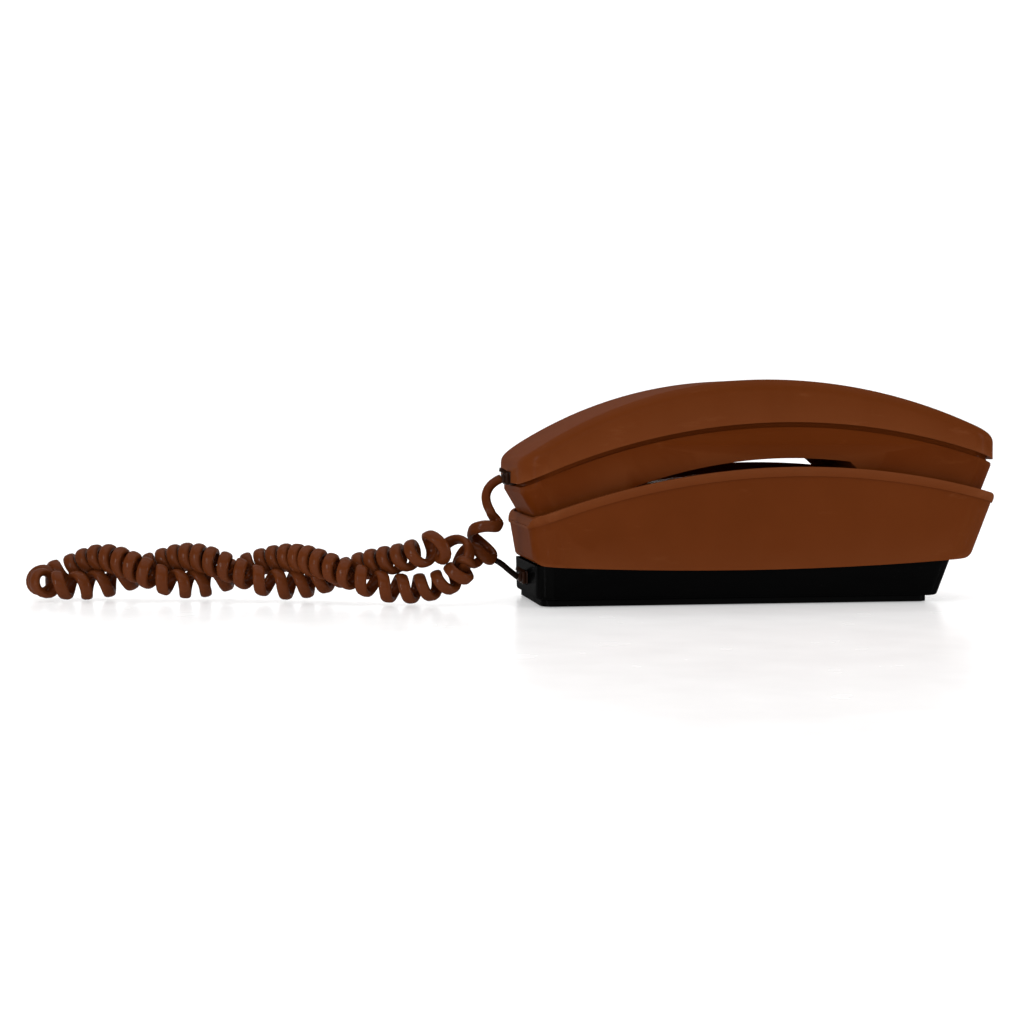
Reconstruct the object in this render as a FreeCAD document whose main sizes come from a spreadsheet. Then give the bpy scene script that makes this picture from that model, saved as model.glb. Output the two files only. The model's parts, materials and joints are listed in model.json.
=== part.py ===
import FreeCAD, Part
import math
import os
import Sketcher

# Slimline wall phone: a curved handset with the keys on its inner side, lying in a curved
# cradle base on a black pan, with a curly cord from the handset's end to the pan's end.
# Millimetres, +Z up, X along the phone with the cord end at -X, origin under its middle.

SIZES = {
    # Handset
    "handset_length": 212.5,
    "handset_width": 72.0,
    "handset_corner": 13.0,
    "handset_edge": 5.0,
    "shell_wall": 2.5,
    "crown_height": 97.1,
    "crown_x": 1.75,
    "crown_radius_cord_end": 187.0,
    "crown_radius_ear_end": 231.0,
    "seam_height": 77.7,
    "seam_x": 11.55,
    "seam_radius": 275.4,
    "seam_gap": 2.2,
    "tongue_rise": 4.0,
    "face_cord_end": 104.75,
    "face_ear_end": 105.4,
    "face_width": 68.6,
    "face_draft": 2.8,
    "bow_height": 63.25,
    "bow_x": 12.5,
    "bow_radius": 206.5,
    "mouth_end": 98.7,
    "mouth_end_height": 38.1,
    "mouth_step": 71.0,
    "ear_step_top": 38.0,
    "ear_step": 46.0,
    "ear_height": 54.5,
    "ear_end": 100.3,
    "ear_end_height": 46.0,
    "mouth_end_slope": 0.58,
    "ear_end_face_slope": 0.38,
    "mouth_x": 82.0,
    "ear_x": 73.0,
    "receiver_radius": 17.0,
    "transmitter_radius": 11.0,
    "sound_hole_radius": 1.1,
    # Keys
    "key_pitch_x": 14.5,
    "key_pitch_y": 16.0,
    "first_row_x": 33.0,
    "key_length": 9.5,
    "key_width": 11.5,
    "key_clearance": 0.4,
    "key_travel": 1.5,
    "key_recess": 0.3,
    "bezel_recess": 1.2,
    "bezel_wall": 2.0,
    "window_length": 82.0,
    "window_width": 50.0,
    "window_x": 9.0,
    "flash_x": 26.0,
    "board_wall": 1.6,
    "board_height": 78.0,
    # Base
    "base_width": 78.0,
    "base_draft": 3.2,
    "base_corner": 12.0,
    "base_wall": 2.6,
    "rim_height": 59.65,
    "rim_x": 15.5,
    "rim_radius": 322.7,
    "rim_bead": 0.6,
    "rim_round_cord_end": 5.4,
    "rim_round_ear_end": 4.6,
    "rim_bead_height": 4.0,
    "base_cord_end": 98.6,
    "base_ear_end": 94.1,
    "cord_end_slope": 0.165,
    "ear_end_slope": 0.36,
    "base_bottom": 15.4,
    "base_bottom_x": -15.0,
    "base_bottom_radius": 1420.0,
    "round_cord_end": 5.0,
    "round_ear_end": 10.0,
    "cradle_gap": 0.6,
    "cradle_x": 16.2,
    "cradle_height": 54.6,
    "cradle_radius": 400.0,
    # Pan and plate
    "pan_cord_end": 98.9,
    "pan_ear_end": 84.8,
    "pan_ear_foot": 80.0,
    "pan_width": 68.0,
    "pan_wall": 2.4,
    "pan_bottom": 3.0,
    "pan_corner": 7.0,
    "plate_cord_end": 96.4,
    "plate_ear_end": 75.0,
    "plate_width": 62.0,
    "plate_corner": 5.0,
    "plate_bottom": 0.4,
    "keyhole_spacing": 101.6,
    "keyhole_entry": 4.3,
    "keyhole_slot": 2.3,
    "keyhole_run": 8.0,
    "foot_radius": 5.0,
    # Works inside the base
    "gong_x": 48.0,
    "gong_radius": 21.0,
    "gong_top": 42.0,
    "gong_depth": 13.0,
    "gong_wall": 1.2,
    "plunger_x": -58.0,
    "plunger_radius": 3.4,
    # Cord
    "lead_radius": 2.0,
    "coil_radius": 6.5,
    "handset_exit_height": 54.0,
    "base_exit_height": 10.6,
    "plug_nose": 3.2,
}

# Route of the straight lead from the handset, and of the one to the base.
HANDSET_LEAD = [
    (-109.45, 0.0, 54.0),
    (-113.5, -0.5, 51.4),
    (-115.8, -2.0, 45.5),
    (-115.2, -4.5, 39.5),
    (-117.0, -8.0, 34.0),
]
BASE_LEAD = [
    (-102.1, 0.0, 10.6),
    (-106.0, -1.0, 13.4),
    (-110.5, -3.0, 16.4),
    (-115.5, -6.0, 17.4),
    (-120.0, -10.0, 15.6),
]

# Route of the coiled cord's middle line: out along the table from the handset's lead, twisted
# with the strand that comes back, round the bight at the far end, and back to the base's lead.
COIL_ROUTE = [
    (-117.0, -8.0, 34.0),
    (-118.9, -11.7, 28.2),
    (-125.0, -15.8, 27.4),
    (-134.5, -16.0, 25.4),
    (-145.0, -12.5, 22.0),
    (-157.0, -6.0, 19.5),
    (-169.5, 4.0, 16.5),
    (-184.5, 12.0, 10.0),
    (-200.0, 11.5, 6.8),
    (-215.5, 10.5, 9.5),
    (-230.5, 15.5, 16.5),
    (-244.5, 24.5, 20.0),
    (-257.5, 33.0, 16.5),
    (-271.0, 36.0, 10.0),
    (-284.0, 32.5, 6.8),
    (-296.0, 27.5, 7.0),
    (-306.0, 28.5, 7.6),
    (-311.5, 36.5, 8.4),
    (-306.5, 45.0, 9.4),
    (-296.5, 44.0, 13.5),
    (-284.0, 35.5, 19.6),
    (-270.5, 23.5, 16.5),
    (-257.0, 18.0, 9.5),
    (-244.0, 21.5, 6.8),
    (-230.0, 27.5, 9.5),
    (-215.0, 25.5, 16.5),
    (-200.0, 14.0, 20.0),
    (-185.0, 0.5, 16.5),
    (-170.0, -8.5, 10.0),
    (-157.0, -8.8, 6.8),
    (-143.5, -11.5, 7.4),
    (-132.5, -14.0, 10.2),
    (-124.9, -14.4, 13.6),
    (-120.0, -10.0, 15.6),
]

doc = FreeCAD.newDocument("slimline_wall_phone")
sheet = doc.addObject("Spreadsheet::Sheet", "Sizes")
for row, (alias, number) in enumerate(SIZES.items(), start=1):
    sheet.set(f"A{row}", alias)
    sheet.set(f"B{row}", str(number))
    sheet.setAlias(f"B{row}", alias)
doc.recompute()

SUB_PARTS = []


class Size:
    """A length with the spreadsheet expression that it comes from."""

    def __init__(self, value, text):
        self.value = value
        self.text = text

    def __add__(self, other):
        other = as_size(other)
        return Size(self.value + other.value, f"({self.text} + {other.text})")

    def __sub__(self, other):
        other = as_size(other)
        return Size(self.value - other.value, f"({self.text} - {other.text})")

    def __mul__(self, other):
        other = as_size(other)
        return Size(self.value * other.value, f"({self.text} * {other.text})")

    def __truediv__(self, other):
        other = as_size(other)
        return Size(self.value / other.value, f"({self.text} / {other.text})")

    def __neg__(self):
        return Size(-self.value, f"(-1 * {self.text})")

    def __radd__(self, other):
        return as_size(other) + self

    def __rsub__(self, other):
        return as_size(other) - self

    def __rmul__(self, other):
        return as_size(other) * self


def as_size(value):
    if isinstance(value, Size):
        return value
    return Size(float(value), f"({float(value)})")


def size(alias):
    return Size(SIZES[alias], "Sizes." + alias)


def root(square):
    return Size(math.sqrt(square.value), f"sqrt({square.text})")


def bind(thing, prop, value):
    thing.setExpression(prop, as_size(value).text)


def bow(x, middle, top, radius):
    """Height at x of an upward bow with its top at (middle, top)."""
    away = as_size(x) - middle
    return top - radius + root(radius * radius - away * away)


# Named sizes used by several sub-parts

handset_half = size("handset_length") / 2
wall = size("shell_wall")
base_wall = size("base_wall")


def crown(x, cord_end):
    radius = size("crown_radius_cord_end") if cord_end else size("crown_radius_ear_end")
    return bow(x, size("crown_x"), size("crown_height"), radius)


def seam(x):
    return bow(x, size("seam_x"), size("seam_height"), size("seam_radius"))


def underside(x):
    return bow(x, size("bow_x"), size("bow_height"), size("bow_radius"))


def mouth_face(x):
    """Height of the flat mouthpiece face."""
    rise = underside(-size("mouth_step")) - size("mouth_end_height")
    run = size("mouth_end") - size("mouth_step")
    return size("mouth_end_height") + (as_size(x) + size("mouth_end")) * rise / run


def ear_face(x):
    """Height of the flat earpiece face."""
    fall = size("ear_height") - size("ear_end_height")
    run = size("ear_end") - size("ear_step")
    return size("ear_height") - (as_size(x) - size("ear_step")) * fall / run


def cradle(x):
    """Height of the cradle's long floor between the two wells."""
    return bow(x, size("cradle_x"), size("cradle_height"), size("cradle_radius"))


def rim(x):
    return bow(x, size("rim_x"), size("rim_height"), size("rim_radius"))


def base_bottom(x):
    away = as_size(x) - size("base_bottom_x")
    radius = size("base_bottom_radius")
    return size("base_bottom") + radius - root(radius * radius - away * away)


# Sketch helpers

def hold_point(sketch, geometry, position, x, y):
    for kind, value in (("DistanceX", as_size(x)), ("DistanceY", as_size(y))):
        index = sketch.addConstraint(Sketcher.Constraint(kind, -1, 1, geometry, position, value.value))
        bind(sketch, f"Constraints[{index}]", value)


def hold_radius(sketch, geometry, radius):
    index = sketch.addConstraint(Sketcher.Constraint("Radius", geometry, radius.value))
    bind(sketch, f"Constraints[{index}]", radius)


def arc_between(start, end, radius, left):
    """Arc from start to end that turns left or right; gives the arc and its first end."""
    chord = end - start
    across = FreeCAD.Vector(-chord.y, chord.x, 0).normalize()
    rise = math.sqrt(radius * radius - (chord.Length / 2) ** 2)
    centre = (start + end) / 2 + across * (rise if left else -rise)
    first, last = (start, end) if left else (end, start)
    first_angle = math.atan2(first.y - centre.y, first.x - centre.x)
    last_angle = math.atan2(last.y - centre.y, last.x - centre.x)
    circle = Part.Circle(centre, FreeCAD.Vector(0, 0, 1), radius)
    return Part.ArcOfCircle(circle, first_angle, last_angle), 1 if left else 2


def draw_outline(sketch, corners):
    """Closed outline. A corner is (x, y), or (x, y, turn, radius) where an arc leads on from it."""
    points = [FreeCAD.Vector(as_size(c[0]).value, as_size(c[1]).value, 0) for c in corners]
    ends = []
    for number, corner in enumerate(corners):
        start = points[number]
        end = points[(number + 1) % len(points)]
        if len(corner) == 4:
            radius = as_size(corner[3])
            curve, first = arc_between(start, end, radius.value, corner[2] == "left")
            geometry = sketch.addGeometry(curve)
            hold_radius(sketch, geometry, radius)
        else:
            geometry = sketch.addGeometry(Part.LineSegment(start, end))
            first = 1
        ends.append((geometry, first, 3 - first))
    for number, corner in enumerate(corners):
        geometry, first, _last = ends[number]
        before, _first, before_last = ends[number - 1]
        sketch.addConstraint(Sketcher.Constraint("Coincident", before, before_last, geometry, first))
        hold_point(sketch, geometry, first, corner[0], corner[1])


def draw_circle(sketch, x, y, radius):
    x, y, radius = as_size(x), as_size(y), as_size(radius)
    centre = FreeCAD.Vector(x.value, y.value, 0)
    geometry = sketch.addGeometry(Part.Circle(centre, FreeCAD.Vector(0, 0, 1), radius.value))
    hold_point(sketch, geometry, 3, x, y)
    hold_radius(sketch, geometry, radius)


def rounded_plan(left, right, half_width, corner):
    """Plan outline of a box with rounded corners, anticlockwise."""
    return [
        (left + corner, -half_width),
        (right - corner, -half_width, "left", corner),
        (right, corner - half_width),
        (right, half_width - corner, "left", corner),
        (right - corner, half_width),
        (left + corner, half_width, "left", corner),
        (left, half_width - corner),
        (left, corner - half_width, "left", corner),
    ]


def plan_sketch(name, height, corners):
    sketch = doc.addObject("Sketcher::SketchObject", name)
    bind(sketch, "Placement.Base.z", height)
    draw_outline(sketch, corners)
    return sketch


def side_prism(name, corners, width):
    """A side outline (x, z) carried across the phone's width."""
    sketch = doc.addObject("Sketcher::SketchObject", name + "_side")
    sketch.Placement = FreeCAD.Placement(FreeCAD.Vector(), FreeCAD.Rotation(FreeCAD.Vector(1, 0, 0), 90))
    draw_outline(sketch, corners)
    prism = doc.addObject("Part::Extrusion", name + "_prism")
    prism.Base = sketch
    prism.DirMode = "Normal"
    prism.Solid = True
    prism.Symmetric = True
    bind(prism, "LengthFwd", width)
    return prism


def tapered_box(name, low, high):
    """A ruled solid between two rounded plans; each is (height, left, right, half width, corner)."""
    sections = []
    for end, plan in (("low", low), ("high", high)):
        sections.append(plan_sketch(f"{name}_{end}", plan[0], rounded_plan(*plan[1:])))
    loft = doc.addObject("Part::Loft", name + "_taper")
    loft.Sections = sections
    loft.Solid = True
    loft.Ruled = True
    return loft


def common(name, base, tool):
    result = doc.addObject("Part::Common", name)
    result.Base = base
    result.Tool = tool
    return result


def cut(name, base, tool):
    result = doc.addObject("Part::Cut", name)
    result.Base = base
    result.Tool = tool
    return result


def fuse(name, pieces):
    result = doc.addObject("Part::MultiFuse", name)
    result.Shapes = pieces
    return result


def block(name, x, y, z):
    """A box between the pairs x, y and z."""
    box = doc.addObject("Part::Box", name)
    for axis, side, (low, high) in zip("xyz", ("Length", "Width", "Height"), (x, y, z)):
        bind(box, side, as_size(high) - low)
        bind(box, "Placement.Base." + axis, low)
    return box


TURNS = {
    "x": FreeCAD.Rotation(FreeCAD.Vector(0, 1, 0), 90),
    "y": FreeCAD.Rotation(FreeCAD.Vector(1, 0, 0), -90),
    "z": FreeCAD.Rotation(),
}


def rod(name, radius, start, length, along="z"):
    """A cylinder from the point start, along +X, +Y or +Z."""
    cylinder = doc.addObject("Part::Cylinder", name)
    cylinder.Placement = FreeCAD.Placement(FreeCAD.Vector(), TURNS[along])
    bind(cylinder, "Radius", radius)
    bind(cylinder, "Height", length)
    for axis, value in zip("xyz", start):
        bind(cylinder, "Placement.Base." + axis, value)
    return cylinder


def round_edges(name, base, radius, wanted):
    """Fillet on the edges for which wanted(edge) is true."""
    doc.recompute()
    fillet = doc.addObject("Part::Fillet", name)
    fillet.Base = base
    chosen = [n for n, edge in enumerate(base.Shape.Edges, start=1) if wanted(edge)]
    fillet.Edges = [(n, radius.value, radius.value) for n in chosen]
    return fillet


def keep(label, thing):
    """Mark an object as a finished sub-part with its own label."""
    thing.Label = label
    SUB_PARTS.append(thing)
    return thing


# PartDesign helpers

def new_body(label):
    return keep(label, doc.addObject("PartDesign::Body", label))


def body_sketch(body, role, name, offset=0):
    sketch = body.newObject("Sketcher::SketchObject", name)
    plane = next(f for f in body.Origin.OriginFeatures if f.Role == role)
    sketch.AttachmentSupport = [(plane, "")]
    sketch.MapMode = "FlatFace"
    bind(sketch, "AttachmentOffset.Base.z", offset)
    return sketch


def pad(body, sketch, length, both_ways=False):
    feature = body.newObject("PartDesign::Pad", sketch.Name + "_pad")
    feature.Profile = sketch
    feature.Midplane = both_ways
    bind(feature, "Length", length)
    return feature


def pocket_through(body, sketch):
    feature = body.newObject("PartDesign::Pocket", sketch.Name + "_pocket")
    feature.Profile = sketch
    feature.Type = "ThroughAll"
    feature.Midplane = True
    return feature


def turned(body, x, y, corners):
    """A solid of revolution about the upright line through (x, y); corners are (radius, height)."""
    sketch = body_sketch(body, "XZ_Plane", body.Name + "_half", offset=-as_size(y))
    draw_outline(sketch, corners)
    bind(sketch, "AttachmentOffset.Base.x", x)
    feature = body.newObject("PartDesign::Revolution", body.Name + "_turned")
    feature.Profile = sketch
    feature.ReferenceAxis = (sketch, ["V_Axis"])
    feature.Angle = 360
    return feature


# Handset shells

def handset_plan(height, inset):
    half_width = size("handset_width") / 2 - inset
    return (height, inset - handset_half, handset_half - inset, half_width, size("handset_corner") - inset)


def crown_outline(inset, seam_shift):
    """Side outline under the crown, down to the seam moved by seam_shift."""
    beyond = handset_half + 2
    cord_radius = size("crown_radius_cord_end") - inset
    ear_radius = size("crown_radius_ear_end") - inset
    top = size("crown_height") - inset
    return [
        (-beyond, seam(-beyond) + seam_shift),
        (-beyond, bow(-beyond, size("crown_x"), top, cord_radius), "right", cord_radius),
        (size("crown_x"), top, "right", ear_radius),
        (beyond, bow(beyond, size("crown_x"), top, ear_radius)),
        (beyond, seam(beyond) + seam_shift, "left", size("seam_radius")),
    ]


def crowned_solid(name, inset, seam_shift):
    taper = tapered_box(name, handset_plan(35, inset), handset_plan(100, inset + 0.4))
    prism = side_prism(name, crown_outline(inset, seam_shift), size("handset_width") + 10)
    return common(name, taper, prism)


def on_crown(edge):
    """True for an edge along the crown's border, and not for the seam across its middle."""
    points = [edge.valueAt(t) for t in (edge.FirstParameter, edge.LastParameter)]
    points.append(edge.valueAt((edge.FirstParameter + edge.LastParameter) / 2))
    if all(abs(p.x - SIZES["crown_x"]) < 0.1 for p in points):
        return False
    return all(abs(p.z - crown(p.x, p.x < SIZES["crown_x"]).value) < 0.05 for p in points)


HANDSET_SCREWS = [(-60.0, -20.0), (-60.0, 20.0), (96.0, 0.0)]


def face_height(x):
    return underside(x) if x < 0 else ear_face(x)


def handset_screw_rods(name, shift, length, radius):
    rods = []
    for number, (x, y) in enumerate(HANDSET_SCREWS):
        rods.append(rod(f"{name}_{number}", radius, (x, y, face_height(x) + shift), length))
    return rods


def handset_cord_slot(name):
    exit_height = size("handset_exit_height")
    along = (-handset_half - 5, -handset_half + 6)
    return block(name, along, (-5.4, 5.4), (exit_height - 3.2, exit_height + 3.2))


def make_handset_top_shell():
    outer = crowned_solid("top_outer", as_size(0), size("seam_gap") / 2)
    rounded = round_edges("top_rounded", outer, size("handset_edge"), on_crown)
    inner = crowned_solid("top_inner", wall, as_size(-14))
    bosses = handset_screw_rods("top_boss", 8.5, 24, 4.0)
    inside = cut("top_inside", inner, fuse("top_bosses", bosses))
    holes = handset_screw_rods("top_screw_hole", 5, 12, 1.55)
    tools = fuse("top_tools", [inside, handset_cord_slot("top_slot")] + holes)
    keep("handset_top_shell", cut("top_shell", rounded, tools))


def face_plans(inset):
    low = size("mouth_end_height")
    rise = 42
    half_width = size("face_width") / 2 - inset
    low_left = inset - size("mouth_end")
    low_right = size("ear_end") - inset - (size("ear_end_height") - low) * size("ear_end_face_slope")
    lower = (low, low_left, low_right, half_width - size("face_draft"), size("handset_corner") - 3 - inset)
    upper_left = low_left - size("mouth_end_slope") * rise
    upper_right = low_right + size("ear_end_face_slope") * rise
    upper = (low + rise, upper_left, upper_right, half_width + 1, size("handset_corner") - 1 - inset)
    return lower, upper


def face_outline(raise_by, seam_shift):
    """Side outline of the face shell; raise_by moves its lower side in, for the hollow."""
    beyond = handset_half + 5
    shift = raise_by * 0.6
    bow_radius = size("bow_radius") + raise_by
    bow_height = size("bow_height") + raise_by
    step = -size("mouth_step")
    ear_top = size("ear_step_top") + shift
    return [
        (-beyond, mouth_face(-beyond) + raise_by),
        (step, bow(step, size("bow_x"), bow_height, bow_radius), "right", bow_radius),
        (ear_top, bow(ear_top, size("bow_x"), bow_height, bow_radius)),
        (size("ear_step") + shift, size("ear_height") + raise_by),
        (beyond, ear_face(beyond) + raise_by),
        (beyond, seam(beyond) + seam_shift, "left", size("seam_radius")),
        (-beyond, seam(-beyond) + seam_shift),
    ]


def face_solid(name, inset, seam_shift):
    slanted = tapered_box(name, *face_plans(inset))
    left = inset - size("face_cord_end")
    right = size("face_ear_end") - inset
    half_width = size("face_width") / 2 - inset
    corner = size("handset_corner") - 1 - inset
    upright = tapered_box(
        name + "_upright",
        (30, left, right, half_width, corner),
        (100, left, right, half_width, corner),
    )
    prism = side_prism(name, face_outline(inset, seam_shift), size("handset_width") + 10)
    return common(name, common(name + "_plan", slanted, upright), prism)


def make_tongue():
    """Rim of the face shell that stands up inside the top shell."""
    beyond = handset_half + 2
    low = as_size(-4)
    high = size("tongue_rise")
    band = [
        (-beyond, seam(-beyond) + low, "right", size("seam_radius")),
        (beyond, seam(beyond) + low),
        (beyond, seam(beyond) + high, "left", size("seam_radius")),
        (-beyond, seam(-beyond) + high),
    ]
    prism = side_prism("tongue", band, size("handset_width"))
    outside = tapered_box("tongue_outside", handset_plan(35, wall + 0.4), handset_plan(100, wall + 0.8))
    inside = tapered_box("tongue_inside", handset_plan(34, wall + 2), handset_plan(101, wall + 2.2))
    return cut("tongue", common("tongue_band", outside, prism), inside)


def sound_holes(name, x, low, high, rings):
    """Holes through the face shell in rings about the point x; a ring is (radius, number)."""
    holes = []
    for ring, (distance, count) in enumerate(rings):
        for number in range(count):
            angle = 2 * math.pi * number / count
            place = (x + distance * math.cos(angle), distance * math.sin(angle), low)
            hole_name = f"{name}_{ring}_{number}"
            holes.append(rod(hole_name, size("sound_hole_radius"), place, as_size(high) - low))
    return holes


BOARD_POSTS = [(x, y) for x in (-43.0, 30.0) for y in (-29.2, 29.2)]


def make_handset_face_shell():
    outer = face_solid("face_outer", as_size(0), -size("seam_gap") / 2)
    inner = face_solid("face_inner", wall, as_size(14))
    hollow = cut("face_hollow", outer, inner)
    adds = [hollow, make_tongue()]
    adds += handset_screw_rods("face_boss", 0.5, 7.5, 4.5)
    for number, (x, y) in enumerate(BOARD_POSTS):
        foot = underside(x) + 1
        adds.append(rod(f"board_post_{number}", 2.0, (x, y, foot), size("board_height") - foot))
    whole = fuse("face_whole", adds)
    middle = -size("window_x")
    half_length = size("window_length") / 2
    half_width = size("window_width") / 2
    along = (middle - half_length, middle + half_length)
    window = block("face_window", along, (-half_width, half_width), (50, 68))
    tools = [window, handset_cord_slot("face_slot")]
    tools += handset_screw_rods("face_head_recess", -3, 5.2, 3.3)
    tools += handset_screw_rods("face_screw_hole", 1, 9, 1.7)
    tools += sound_holes("ear_hole", size("ear_x"), 45, 58, [(0, 1), (5, 6), (10, 10)])
    tools += sound_holes("mouth_hole", -size("mouth_x"), 38, 50, [(0, 1), (5, 6)])
    keep("handset_face_shell", cut("face_shell", whole, fuse("face_tools", tools)))


def make_handset_screws():
    heads = handset_screw_rods("screw_head", 0.4, 1.7, 2.9)
    shafts = handset_screw_rods("screw_shaft", 0.6, 13.0, 1.5)
    slots = []
    for number, (x, y) in enumerate(HANDSET_SCREWS):
        low = face_height(x)
        across = (y - 0.4, y + 0.4)
        slots.append(block(f"screw_slot_{number}", (x - 2.2, x + 2.2), across, (low, low + 1.0)))
    keep("handset_screws", cut("screws", fuse("screw_bodies", heads + shafts), fuse("screw_slots", slots)))


# Keys and what lies behind them

KEY_ROWS = [["1", "2", "3"], ["4", "5", "6"], ["7", "8", "9"], ["star", "0", "pound"]]
key_length = size("key_length")
key_width = size("key_width")


def key_places():
    """Name and place of each key. Row 1 is nearest the earpiece."""
    for row, names in enumerate(KEY_ROWS):
        x = -size("first_row_x") + size("key_pitch_x") * (len(KEY_ROWS) - 1 - row)
        for column, name in enumerate(names):
            yield f"key_{name}", x, size("key_pitch_y") * (column - 1)


def rectangle(x, y, length, width):
    x, y = as_size(x), as_size(y)
    return [
        (x - length / 2, y - width / 2),
        (x + length / 2, y - width / 2),
        (x + length / 2, y + width / 2),
        (x - length / 2, y + width / 2),
    ]


def band_outline(low, high, left, right):
    """Side outline of a plate that follows the handset's underside, low to high above it."""
    radius = size("bow_radius")
    height = size("bow_height")
    corners = []
    for x in (left, right):
        corners.append((x, bow(x, size("bow_x"), height + low, radius + low)))
    for x in (right, left):
        corners.append((x, bow(x, size("bow_x"), height + high, radius + high)))
    corners[0] = corners[0] + ("right", radius + low)
    corners[2] = corners[2] + ("left", radius + high)
    return corners


def make_keypad_bezel():
    body = new_body("keypad_bezel")
    middle = -size("window_x")
    inside = size("window_length") / 2 - 0.3
    outside = size("window_length") / 2 + 2
    recess = size("bezel_recess")
    plate = body_sketch(body, "XZ_Plane", "bezel_plate")
    draw_outline(plate, band_outline(recess, recess + size("bezel_wall"), middle - inside, middle + inside))
    pad(body, plate, size("window_width") - 0.6, both_ways=True)
    flange = body_sketch(body, "XZ_Plane", "bezel_flange")
    top = recess + size("bezel_wall")
    draw_outline(flange, band_outline(wall + 0.1, top, middle - outside, middle + outside))
    pad(body, flange, size("window_width") + 4, both_ways=True)
    holes = body_sketch(body, "XY_Plane", "bezel_holes")
    gap = size("key_clearance") * 2
    for _name, x, y in key_places():
        draw_outline(holes, rectangle(x, y, key_length + gap, key_width + gap))
    draw_outline(holes, rectangle(size("flash_x"), 0, size("key_length") / 2 + gap, key_width * 2 + gap))
    pocket_through(body, holes)


def make_button(label, x, y, length, width):
    """A key: a cap that shows through the bezel, with a flange that keeps it in."""
    body = new_body(label)
    face = underside(x) + size("key_recess")
    flange_height = underside(x) + 5.2
    cap = body_sketch(body, "XY_Plane", label + "_cap", face)
    draw_outline(cap, rectangle(x, y, length, width))
    pad(body, cap, flange_height - face)
    flange = body_sketch(body, "XY_Plane", label + "_flange", flange_height)
    draw_outline(flange, rectangle(x, y, length + 3, width + 2))
    last = pad(body, flange, 1.0)
    doc.recompute()
    edges = enumerate(last.Shape.Edges, start=1)
    low = [f"Edge{n}" for n, edge in edges if edge.BoundBox.ZMax < face.value + 0.01]
    fillet = body.newObject("PartDesign::Fillet", label + "_rounding")
    fillet.Base = (last, low)
    fillet.Radius = 0.8


def make_key_mat():
    low = size("board_height") - 2.0
    plate = block("mat_plate", (-44, 34), (-25, 25), (low, low + 1.5))
    domes = []
    places = list(key_places()) + [("flash", size("flash_x"), as_size(0))]
    for name, x, y in places:
        foot = underside(x) + 6.2 + size("key_travel") + 0.2
        domes.append(rod(f"mat_dome_{name}", 3.0, (x, y, foot), low - foot + 0.5))
    keep("key_mat", fuse("mat", [plate] + domes))


def make_keypad_board():
    low = size("board_height")
    plate = block("board_plate", (-46, 36), (-30.8, 30.8), (low, low + size("board_wall")))
    chip = block("board_chip", (-8, 12), (-4, 4), (low + size("board_wall"), low + size("board_wall") + 3))
    keep("keypad_board", fuse("keypad_circuit", [plate, chip]))


def make_receiver():
    x = size("ear_x")
    ring = rod("receiver_ring", size("receiver_radius") - 1, (x, 0, 56.1), 1.0)
    keep("receiver_gasket", cut("receiver_seal", ring, rod("receiver_ring_hole", 12.0, (x, 0, 55), 4)))
    cup = rod("receiver_cup", size("receiver_radius"), (x, 0, 57.2), 8)
    back = rod("receiver_back", size("receiver_radius") - 5, (x, 0, 65.2), 4)
    keep("receiver_capsule", fuse("receiver", [cup, back]))


def make_transmitter():
    x = -size("mouth_x")
    ring = rod("transmitter_ring", size("transmitter_radius") - 1, (x, 0, 48.8), 0.8)
    hole = rod("transmitter_ring_hole", 7.5, (x, 0, 48), 3)
    keep("transmitter_gasket", cut("transmitter_seal", ring, hole))
    cup = rod("transmitter_cup", size("transmitter_radius"), (x, 0, 49.7), 6)
    back = rod("transmitter_back", size("transmitter_radius") - 3, (x, 0, 55.7), 3)
    keep("transmitter_capsule", fuse("transmitter", [cup, back]))


def make_plug(label, x, height, jack_front):
    """Modular plug whose nose stands out of the end wall, with its jack behind the wall."""
    along = (x - size("plug_nose"), jack_front + 4.5)
    keep(label, block(label + "_nose", along, (-5, 5), (height - 2.8, height + 2.8)))
    jack = label.replace("plug", "jack")
    along = (jack_front, jack_front + 7.4)
    outside = block(jack + "_box", along, (-7, 7), (height - 4.8, height + 4.8))
    along = (jack_front - 1, jack_front + 4.7)
    socket = block(jack + "_socket", along, (-5.2, 5.2), (height - 3, height + 3))
    keep(jack, cut(jack + "_cut", outside, socket))


# Base

def base_plan(height, inset):
    """Plan of the base housing at a height, inset from its outside."""
    rise = as_size(height) - 15
    left = -size("base_cord_end") - rise * size("cord_end_slope") + inset
    right = size("base_ear_end") + rise * size("ear_end_slope") - inset
    half_width = size("base_width") / 2 - size("base_draft") + rise * size("base_draft") / 45 - inset
    return (height, left, right, half_width, size("base_corner") - inset)


def base_taper(name, inset):
    return tapered_box(name, base_plan(10, inset), base_plan(66, inset))


def cradle_floor(down):
    """The cradle's floor from the cord end to the ear end, moved down, as outline corners."""
    far_left = -size("base_cord_end") - 20
    far_right = size("base_ear_end") + 25
    step = -size("mouth_step")
    ear = size("ear_step")
    drop = size("cradle_gap") + down
    return [
        (far_left, mouth_face(far_left) - drop),
        (step, cradle(step) - down, "right", size("cradle_radius")),
        (ear, cradle(ear) - down),
        (far_right, ear_face(far_right) - drop),
    ]


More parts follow.
